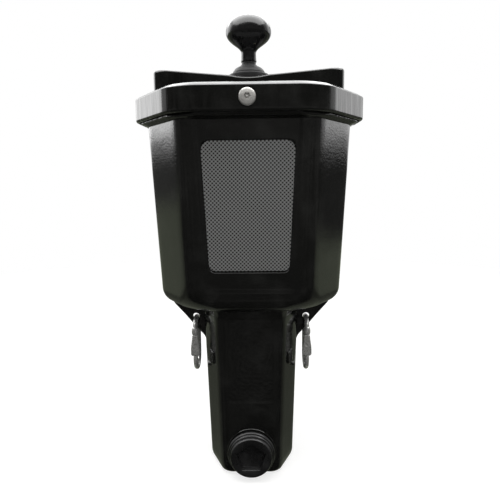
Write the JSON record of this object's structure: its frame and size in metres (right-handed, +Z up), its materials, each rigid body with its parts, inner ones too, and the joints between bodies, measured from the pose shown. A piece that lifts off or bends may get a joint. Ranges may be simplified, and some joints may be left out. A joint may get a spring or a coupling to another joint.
{
  "type": "golf ball washer",
  "caption": "Post-mounted golf ball washer: cast tank with lid, knob-driven sliding ball paddle between brushes, screw-in drain plug and snap hooks.",
  "frame": {"origin": "centre of the flat roof of the post socket, on the axis of the post", "axes": "+Z up along the post and the paddle's travel, front with the label and drain plug towards -Y, +X to the right seen from the front"},
  "size_m": [0.244, 0.2154, 0.5017],
  "materials": {
    "powder_coat": "cast aluminium under gloss black powder coat with orange peel",
    "label_film": "grey film with a dark checked weave",
    "rubber_seal": "black seal rubber",
    "bumper_rubber": "black moulded rubber",
    "stainless": "stainless steel",
    "hook_steel": "polished stainless wire and stamped gate",
    "board_plastic": "natural polyethylene",
    "bristle": "natural nylon bristle",
    "paddle_plastic": "black filled nylon",
    "knob_plastic": "satin black moulded knob",
    "brass": "turned brass",
    "plug_plastic": "matte black moulded plug"
  },
  "bodies": {
    "tank": {"tank_casting": "powder_coat", "tower_casting": "powder_coat", "label_plate": "label_film", "clamp_screw_upper": "stainless", "clamp_screw_lower": "stainless", "jam_nut_upper": "stainless", "jam_nut_lower": "stainless", "lid_casting": "powder_coat", "lid_gasket": "rubber_seal", "lid_screw_front": "stainless", "lid_screw_rear": "stainless", "brush_board_front": "board_plastic", "brush_board_rear": "board_plastic", "bristles_front": "bristle", "bristles_rear": "bristle", "guide_left": "board_plastic", "guide_right": "board_plastic", "board_screw_front_1": "stainless", "board_screw_front_2": "stainless", "board_screw_front_3": "stainless", "board_screw_front_4": "stainless", "board_screw_rear_1": "stainless", "board_screw_rear_2": "stainless", "board_screw_rear_3": "stainless", "board_screw_rear_4": "stainless", "guide_screw_left_1": "stainless", "guide_screw_left_2": "stainless", "guide_screw_right_1": "stainless", "guide_screw_right_2": "stainless"},
    "agitator": {"paddle": "paddle_plastic", "paddle_rod": "stainless", "paddle_pin": "stainless", "bumper_disc": "bumper_rubber", "bumper_dome": "bumper_rubber", "knob": "knob_plastic", "knob_insert": "brass"},
    "drain_ring": {"drain_seal": "rubber_seal"},
    "plug": {"drain_plug": "plug_plastic"},
    "snap_left": {"hook_left": "hook_steel", "gate_pin_left": "hook_steel"},
    "snap_right": {"hook_right": "hook_steel", "gate_pin_right": "hook_steel"},
    "gate_left": {"hook_gate_left": "hook_steel"},
    "gate_right": {"hook_gate_right": "hook_steel"}
  },
  "joints": [
    {"name": "agitator_slide", "type": "slide", "parent": "tank", "child": "agitator", "axis": [0, 0, 1], "range_m": [0, 0.148]},
    {"name": "plug_travel", "type": "slide", "parent": "tank", "child": "drain_ring", "axis": [0, -1, 0], "range_m": [0, 0.012]},
    {"name": "plug_turn", "type": "hinge", "parent": "drain_ring", "child": "plug", "pos_m": [0, -0.07, -0.102], "axis": [0, -1, 0], "range_deg": [0, 1080]},
    {"name": "snap_swing_left", "type": "hinge", "parent": "tank", "child": "snap_left", "pos_m": [-0.06395, -0.01, 0.03638], "axis": [0, 1, 0], "range_deg": [-5, 75]},
    {"name": "snap_swing_right", "type": "hinge", "parent": "tank", "child": "snap_right", "pos_m": [0.06395, -0.01, 0.03638], "axis": [0, -1, 0], "range_deg": [-5, 75]},
    {"name": "gate_open_left", "type": "hinge", "parent": "snap_left", "child": "gate_left", "pos_m": [-0.06395, -0.02525, -0.00377], "axis": [-1, 0, 0], "range_deg": [0, 18], "stiffness_Nm_per_rad": 0.02, "springref_deg": -17.19},
    {"name": "gate_open_right", "type": "hinge", "parent": "snap_right", "child": "gate_right", "pos_m": [0.06395, -0.02525, -0.00377], "axis": [-1, 0, 0], "range_deg": [0, 18], "stiffness_Nm_per_rad": 0.02, "springref_deg": -17.19}
  ],
  "couplings": [
    {"joint": "plug_turn", "follows": "plug_travel", "rad_per_m": 1570.8}
  ]
}
